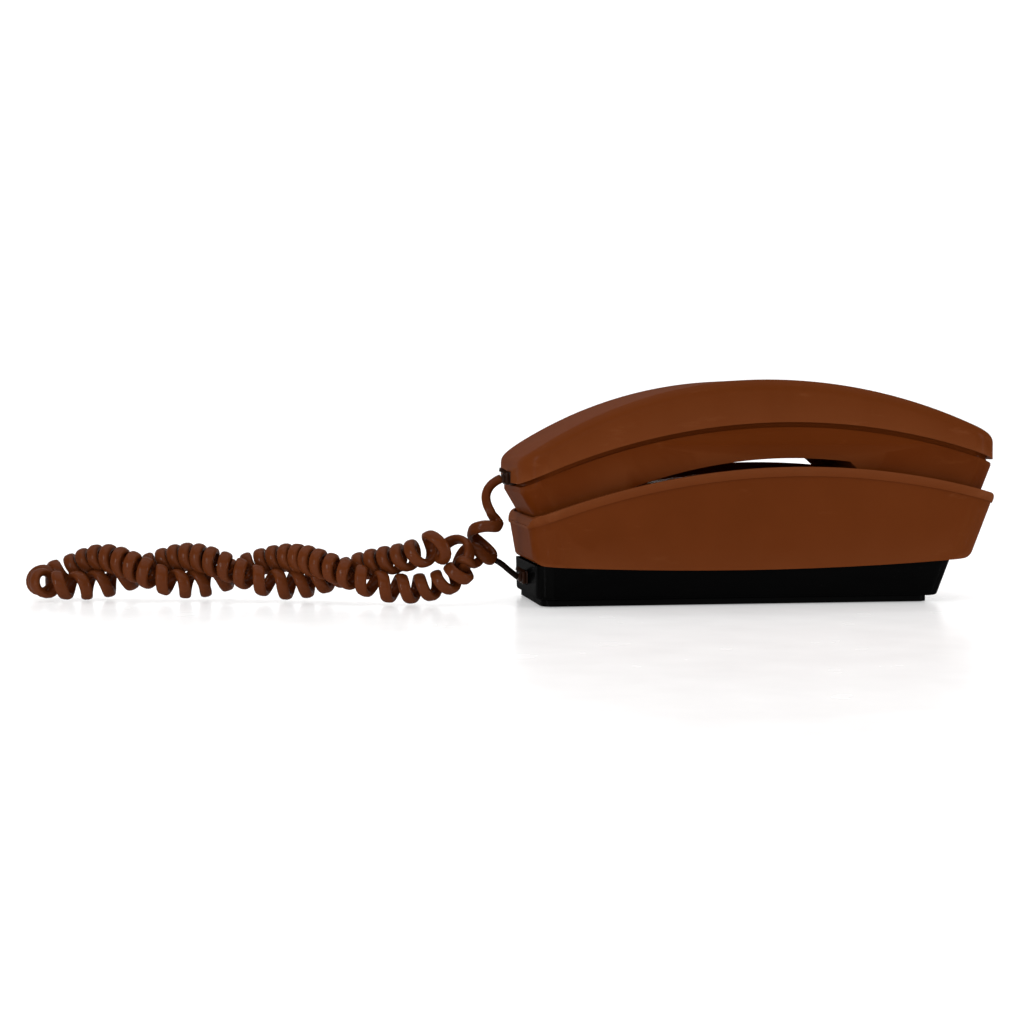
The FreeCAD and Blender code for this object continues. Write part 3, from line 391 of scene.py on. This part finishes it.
BASE_LEAD = [
    (-121.0, -12.5, 18.0),
    (-118.0, 0.0, 21.0),
    (-110.5, -2.5, 17.6),
    (-106.0, -1.0, 13.6),
    (-102.1, 0.0, 10.6),
]

# The strip's size where it is wound, where it leaves the handset and where it meets the base
CORD_WIDTH = 5.2
CORD_THICKNESS = 3.4
LEAD_WIDTH = 4.1
LEAD_THICKNESS = 3.0
TAIL_WIDTH = 2.6
TAIL_THICKNESS = 2.3
CORD_SIDES = 14

# The coil: tight where a strand rides on top, open where it lies on the table, and loose in
# its first turns, which begin with a fold and a steep drop
COIL_RADIUS = 4.75
LOOSE_RADIUS = 6.2
TIGHT_PITCH = 6.4
OPEN_PITCH = 9.0
FOLD_PITCH = 6.6
DROP_PITCH = 20.0
LOOSE_PITCH = 12.5
FIRST_PHASE = 0.7

# Distances along the coil's middle line, in mm
GROWS_OVER = 6.0
SHRINKS_OVER = 5.0
FOLD_ENDS = 5.0
DROP_STARTS = 5.5
DROP_ENDS = 13.0
LOOSE_ENDS = 38.0
LOOSE_FADES_OVER = 28.0
TAIL_STARTS_AFTER = 10.0
OPEN_BELOW_HEIGHT = 17.0
COIL_ENDS_BEFORE_LEAD = 4.5
STRAIGHT_SHARE_OF_LEAD = 0.90

LINE_STEP = 0.12
RING_SPACING = 1.35


def route_line(points):
    """Points along the smooth line that has these control points."""
    curve = bpy.data.curves.new("cord_route", "CURVE")
    curve.dimensions = "3D"
    curve.resolution_u = 24
    spline = curve.splines.new("NURBS")
    spline.points.add(len(points) - 1)
    for point, place in zip(spline.points, points):
        point.co = (place[0] * MM, place[1] * MM, place[2] * MM, 1.0)
    spline.order_u = 3
    spline.use_endpoint_u = True
    holder = bpy.data.objects.new("cord_route", curve)
    bpy.context.scene.collection.objects.link(holder)
    mesh = bpy.data.meshes.new_from_object(holder)
    line = [v.co.copy() for v in mesh.vertices]
    bpy.data.objects.remove(holder)
    bpy.data.curves.remove(curve)
    bpy.data.meshes.remove(mesh)
    return line


def even_line(line, step):
    """The same line with its points one step apart."""
    result = [line[0].copy()]
    left = step
    for start, end in zip(line, line[1:]):
        span = (end - start).length
        gone = 0.0
        while span - gone >= left:
            gone += left
            result.append(start.lerp(end, gone / span))
            left = step
        left -= span - gone
    return result


def frames_along(line):
    """Tangent, normal and binormal at each point, carried along without twist."""
    tangents = []
    for i in range(len(line)):
        tangents.append((line[min(i + 1, len(line) - 1)] - line[max(i - 1, 0)]).normalized())
    normal = Vector((0, 1, 0))
    frames = []
    for tangent in tangents:
        normal = (normal - tangent * normal.dot(tangent)).normalized()
        frames.append((tangent, normal.copy(), tangent.cross(normal)))
    return frames


def smooth(value):
    value = min(max(value, 0.0), 1.0)
    return value * value * (3.0 - 2.0 * value)


def coil_pitch(gone, height, run):
    """Advance per turn at a distance into the coil, a height and a distance along the cord."""
    open_share = smooth((OPEN_BELOW_HEIGHT - height) / 9.0)
    pitch = TIGHT_PITCH + (OPEN_PITCH - TIGHT_PITCH) * open_share
    loose_pitch = FOLD_PITCH + (LOOSE_PITCH - FOLD_PITCH) * smooth((gone - FOLD_ENDS) / 4.0)
    pitch += (loose_pitch - pitch) * loose_share(gone)
    drop = smooth((gone - DROP_STARTS) / 2.0) * (1.0 - smooth((gone - DROP_ENDS) / 4.0))
    pitch += (DROP_PITCH - pitch) * drop
    return pitch * (1.0 + 0.07 * math.sin(run / 11.0) + 0.05 * math.sin(run / 4.3))


def loose_share(gone):
    """1 in the loose first turns, 0 in the rest of the coil."""
    return 1.0 - smooth((gone - LOOSE_ENDS) / LOOSE_FADES_OVER)


def curly_line(line, coil_start, coil_end):
    """The strip's places: centre, way its flat side faces, how far it is wound, tail share."""
    step = (line[1] - line[0]).length / MM
    phase = FIRST_PHASE
    places = []
    for i, (_tangent, normal, binormal) in enumerate(frames_along(line)):
        run = i * step
        gone = run - coil_start / MM
        left = coil_end / MM - run
        grown = smooth(gone / GROWS_OVER) * smooth(left / SHRINKS_OVER)
        radius = COIL_RADIUS + (LOOSE_RADIUS - COIL_RADIUS) * loose_share(gone)
        radius *= 1.0 + 0.035 * math.sin(run / 7.0 + 1.0)
        phase += 2.0 * math.pi * step / coil_pitch(gone, line[i].z / MM, run) * grown
        outward = normal * math.cos(phase) + binormal * math.sin(phase)
        tail = 1.0 - smooth((left + TAIL_STARTS_AFTER) / 4.0)
        places.append((line[i] + outward * radius * MM * grown, outward, grown, tail))
    return places


def resample_turns(places, spacing):
    """Thin the fine line to about one point per spacing, keeping both ends."""
    kept = [places[0]]
    for place in places[1:-1]:
        if (place[0] - kept[-1][0]).length >= spacing:
            kept.append(place)
    kept.append(places[-1])
    return kept


def sweep(name, centres, sides, sizes, around):
    """Mesh of a flat, round-edged strip along centres; sides point out of its flat face."""
    mesh = bmesh.new()
    rings = []
    for i, (centre, side, (width, thickness)) in enumerate(zip(centres, sides, sizes)):
        along = (centres[min(i + 1, len(centres) - 1)] - centres[max(i - 1, 0)]).normalized()
        thick_way = (side - along * side.dot(along)).normalized()
        wide_way = along.cross(thick_way)
        ring = []
        for k in range(around):
            angle = 2.0 * math.pi * k / around
            across = math.copysign(abs(math.cos(angle)) ** 0.8, math.cos(angle)) * width / 2 * MM
            deep = math.copysign(abs(math.sin(angle)) ** 0.8, math.sin(angle)) * thickness / 2 * MM
            ring.append(mesh.verts.new(centre + wide_way * across + thick_way * deep))
        rings.append(ring)
    skin(mesh, rings)
    return add_piece(name, mesh)


def skin(mesh, rings):
    """Faces between the rings, with both ends closed."""
    for first, second in zip(rings, rings[1:]):
        count = len(first)
        for k in range(count):
            mesh.faces.new((first[k], first[(k + 1) % count], second[(k + 1) % count], second[k]))
    mesh.faces.new(rings[0])
    mesh.faces.new(list(reversed(rings[-1])))


def add_piece(name, mesh):
    """New object from the mesh, smooth shaded."""
    bmesh.ops.recalc_face_normals(mesh, faces=mesh.faces)
    for face in mesh.faces:
        face.smooth = True
    data = bpy.data.meshes.new(name)
    mesh.to_mesh(data)
    mesh.free()
    piece = bpy.data.objects.new(name, data)
    bpy.context.scene.collection.objects.link(piece)
    return piece


def line_length(line):
    return sum((b - a).length for a, b in zip(line, line[1:]))


def strip_size(grown, tail):
    """Width and thickness of the strip: lead, then wound cord, then the thin tail."""
    width = LEAD_WIDTH + (CORD_WIDTH - LEAD_WIDTH) * grown
    thickness = LEAD_THICKNESS + (CORD_THICKNESS - LEAD_THICKNESS) * grown
    return width + (TAIL_WIDTH - width) * tail, thickness + (TAIL_THICKNESS - thickness) * tail


def make_cord(plugs):
    """The whole handset cord as one strip, in place of the three CAD tubes."""
    line = even_line(route_line(HANDSET_LEAD + COIL_ROUTE + BASE_LEAD), LINE_STEP * MM)
    coil_start = line_length(route_line(HANDSET_LEAD)) * STRAIGHT_SHARE_OF_LEAD
    lead_out = line_length(route_line(BASE_LEAD)) + COIL_ENDS_BEFORE_LEAD * MM
    fine_places = curly_line(line, coil_start, line_length(line) - lead_out)
    places = resample_turns(fine_places, RING_SPACING * MM)
    centres = [place[0] for place in places]
    sides = [place[1] for place in places]
    sizes = [strip_size(grown, tail) for _centre, _side, grown, tail in places]
    cord = sweep("curly_cord", centres, sides, sizes, CORD_SIDES)
    cord.data.materials.append(CORD)
    cord.data.materials.append(TAIL)
    first_tail = [tail > 0.5 for _centre, _side, _grown, tail in places].index(True)
    last_side_face = (len(places) - 1) * CORD_SIDES
    for face in cord.data.polygons[first_tail * CORD_SIDES:last_side_face]:
        face.material_index = 1
    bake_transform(cord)
    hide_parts("cord_handset_lead", "cord_coil", "cord_base_lead")


# Modular plugs

PLUG_SECTIONS = [
    (0.0, 1.9, 1.5),
    (0.35, 2.3, 1.9),
    (1.1, 2.5, 2.0),
    (1.3, 4.5, 2.4),
    (1.6, 4.9, 2.7),
    (2.7, 4.9, 2.7),
    (2.8, 4.6, 2.5),
    (3.1, 4.6, 2.5),
    (3.2, 4.9, 2.7),
    (10.6, 4.9, 2.7),
    (10.9, 4.6, 2.4),
]
LATCH_LINE = [
    (-0.7, 3.9),
    (-0.1, 3.8),
    (0.6, 3.4),
    (1.4, 2.9),
    (2.1, 2.4),
    (2.7, 1.9),
]
LATCH_ROOT = (3.3, 1.5)
LATCH_HALF_WIDTH = 1.7
LATCH_HALF_THICKNESS = 0.9


def rounded_ring(mesh, x, height, half_width, half_height):
    """Ring of points in a YZ plane: a rectangle with rounded corners."""
    corner = min(half_width, half_height) * 0.35
    ring = []
    for turn in range(4):
        y_way = (1, -1, -1, 1)[turn]
        z_way = (1, 1, -1, -1)[turn]
        for k in range(4):
            angle = math.pi / 2 * (turn + k / 3)
            y = y_way * (half_width - corner) + corner * math.cos(angle)
            z = z_way * (half_height - corner) + corner * math.sin(angle)
            ring.append(mesh.verts.new((x * MM, y * MM, (height + z) * MM)))
    return ring


def make_plug(node, body):
    """Plug with a collar round the cord and a sprung latch that stands up outside the wall."""
    low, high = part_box(node)
    outer_end = low[0] / MM
    height = (low[2] + high[2]) / 2 / MM
    mesh = bmesh.new()
    rings = [rounded_ring(mesh, outer_end + x, height, w, h) for x, w, h in PLUG_SECTIONS]
    skin(mesh, rings)
    latch = []
    for (x, z), (next_x, next_z) in zip(LATCH_LINE, LATCH_LINE[1:] + [LATCH_ROOT]):
        slope = Vector((next_x - x, 0.0, next_z - z)).normalized()
        out = Vector((-slope.z, 0.0, slope.x)) * LATCH_HALF_THICKNESS
        ring = []
        for y_way, out_way in ((1, 1), (-1, 1), (-1, -1), (1, -1)):
            place = Vector((outer_end + x, LATCH_HALF_WIDTH * y_way, height + z)) + out * out_way
            ring.append(mesh.verts.new(place * MM))
        latch.append(ring)
    skin(mesh, latch)
    plug = add_piece(node + "_moulded", mesh)
    bevel = plug.modifiers.new("soft_edges", "BEVEL")
    bevel.width = 0.12 * MM
    bevel.segments = 2
    plug.data.materials.append(PLUG)
    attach(plug, body)
    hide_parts(node)
    return plug


# Hook spring and key numerals

SPRING_WIRE = 0.8
SPRING_TURNS = 7.5
SPRING_STEPS = 180
SPRING_END_CLOSING = 0.055


def make_hook_spring():
    """Wound wire spring under the plunger's collar, with its end turns closed up."""
    low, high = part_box("hook_spring")
    middle = Vector(((low[0] + high[0]) / 2, (low[1] + high[1]) / 2, 0.0))
    radius = (high[0] - low[0]) / 2 - SPRING_WIRE * MM / 2
    bottom = low[2] + SPRING_WIRE * MM / 2
    height = high[2] - low[2] - SPRING_WIRE * MM
    centres = []
    sides = []
    for k in range(SPRING_STEPS + 1):
        share = k / SPRING_STEPS
        angle = 2.0 * math.pi * SPRING_TURNS * share
        rise = share - SPRING_END_CLOSING * math.sin(2.0 * math.pi * share)
        side = Vector((math.cos(angle), math.sin(angle), 0.0))
        centres.append(middle + side * radius + Vector((0.0, 0.0, bottom + height * rise)))
        sides.append(side)
    sizes = [(SPRING_WIRE, SPRING_WIRE)] * len(centres)
    spring = sweep("hook_spring_wire", centres, sides, sizes, around=10)
    spring.data.materials.append(STEEL)
    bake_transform(spring)
    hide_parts("hook_spring")


KEY_MARKS = {
    "1": "1",
    "2": "2",
    "3": "3",
    "4": "4",
    "5": "5",
    "6": "6",
    "7": "7",
    "8": "8",
    "9": "9",
    "star": "*",
    "0": "0",
    "pound": "#",
}
MARK_SIZE = 6.2
STAR_SIZE = 9.5
STAR_DROP = 1.1
MARK_THICKNESS = 0.04
MARK_SUNK = 0.01


def make_key_marks():
    """Printed numeral on each key's face, read with the earpiece end up."""
    facing_down = Matrix(((0, 1, 0), (1, 0, 0), (0, 0, -1))).to_4x4()
    for key, mark in KEY_MARKS.items():
        low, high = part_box(f"key_{key}")
        text = bpy.data.curves.new("mark", "FONT")
        text.body = mark
        text.size = (STAR_SIZE if mark == "*" else MARK_SIZE) * MM
        text.extrude = MARK_THICKNESS * MM
        text.align_x = "CENTER"
        text.align_y = "CENTER"
        holder = bpy.data.objects.new("mark", text)
        bpy.context.scene.collection.objects.link(holder)
        data = bpy.data.meshes.new_from_object(holder)
        bpy.data.objects.remove(holder)
        bpy.data.curves.remove(text)
        drop = STAR_DROP if mark == "*" else 0.0
        middle_x = (low[0] + high[0]) / 2
        middle_y = (low[1] + high[1]) / 2
        place = Vector((middle_x - drop * MM, middle_y, low[2] - MARK_SUNK * MM))
        data.transform(Matrix.Translation(place) @ facing_down)
        data.name = f"key_{key}_mark"
        printed = bpy.data.objects.new(f"key_{key}_mark", data)
        bpy.context.scene.collection.objects.link(printed)
        data.materials.clear()
        data.materials.append(INK)
        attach(printed, f"key_{key}_body")


# Stage: floor, lights and camera

TABLE_FRONT = -3.0
TABLE_BACK = 1.2
TABLE_HALF_WIDTH = 4.0
SWEEP_RADIUS = 0.8
SWEEP_STEPS = 12
BACKDROP_TOP = 3.2


def make_floor():
    """Pale glossy table that sweeps up into a backdrop behind the phone."""
    mesh = bmesh.new()
    outline = [(TABLE_FRONT, 0.0), (TABLE_BACK, 0.0)]
    for k in range(1, SWEEP_STEPS + 1):
        angle = math.pi / 2 * k / SWEEP_STEPS
        y = TABLE_BACK + SWEEP_RADIUS * math.sin(angle)
        outline.append((y, SWEEP_RADIUS - SWEEP_RADIUS * math.cos(angle)))
    outline.append((TABLE_BACK + SWEEP_RADIUS, BACKDROP_TOP))
    rows = []
    for y, z in outline:
        rows.append([mesh.verts.new((x, y, z)) for x in (-TABLE_HALF_WIDTH, TABLE_HALF_WIDTH)])
    for first, second in zip(rows, rows[1:]):
        mesh.faces.new((first[0], first[1], second[1], second[0]))
    for face in mesh.faces:
        face.smooth = True
    data = bpy.data.meshes.new("table")
    mesh.to_mesh(data)
    mesh.free()
    table = bpy.data.objects.new("table", data)
    bpy.context.scene.collection.objects.link(table)
    m = Nodes("pale_table")
    speck = m.noise(35.0, detail=4.0)
    colour = m.ramp(speck, [(0.3, (0.77, 0.77, 0.77)), (0.7, (0.80, 0.80, 0.80))])
    m.set(Specular_IOR_Level=0.3)
    m.set(Emission_Color=(1.0, 1.0, 1.0, 1.0), Emission_Strength=0.34)
    data.materials.append(m.finish(colour, m.span(speck, 0.22, 0.30)))


def area_light(name, place, target, width, height, power):
    """Rectangular light at a place, facing the target."""
    data = bpy.data.lights.new(name, "AREA")
    data.shape = "RECTANGLE"
    data.size = width
    data.size_y = height
    data.energy = power
    light = bpy.data.objects.new(name, data)
    light.location = place
    bpy.context.scene.collection.objects.link(light)
    direction = Vector(target) - light.location
    light.rotation_euler = direction.to_track_quat("-Z", "Y").to_euler()


def make_lights():
    """Soft light from above and in front, a strip at each side and a wash on the backdrop."""
    area_light("front_soft", (-0.6, -1.9, 0.75), (0, 0, 0.05), width=1.8, height=1.1, power=8)
    area_light("top_soft", (0.0, 0.0, 1.7), (0, 0, 0), width=2.6, height=2.0, power=20)
    area_light("left_strip", (-1.4, -0.9, 0.45), (-0.1, 0, 0.06), width=0.16, height=0.7, power=9)
    area_light("right_strip", (1.3, -0.7, 0.4), (0.1, 0, 0.06), width=0.16, height=0.7, power=6)
    area_light("backdrop_wash", (0.0, 0.6, 1.5), (0, 2.0, 0.5), width=2.8, height=0.9, power=12)
    world = bpy.data.worlds.new("studio")
    world.use_nodes = True
    background = world.node_tree.nodes["Background"]
    background.inputs["Color"].default_value = (1, 1, 1, 1)
    background.inputs["Strength"].default_value = 0.2
    bpy.context.scene.world = world
    bpy.context.scene.view_settings.view_transform = "Standard"


def make_camera():
    """Just above the table, a little to the cord's side of the phone, tilted slightly down."""
    data = bpy.data.cameras.new("camera")
    data.sensor_width = 36.0
    data.lens = 69.6
    data.clip_end = 20.0
    camera = bpy.data.objects.new("camera", data)
    camera.location = (-0.2358, -0.8570, 0.0847)
    yaw = math.radians(8.7)
    pitch = math.radians(3.0)
    camera.rotation_euler = (math.pi / 2 - pitch, 0.0, -yaw)
    bpy.context.scene.collection.objects.link(camera)
    bpy.context.scene.camera = camera


make_camera()
make_floor()
make_lights()
dress_cad_nodes()
make_cord([make_plug("handset_plug", "handset"), make_plug("base_plug", "base")])
make_hook_spring()
make_key_marks()
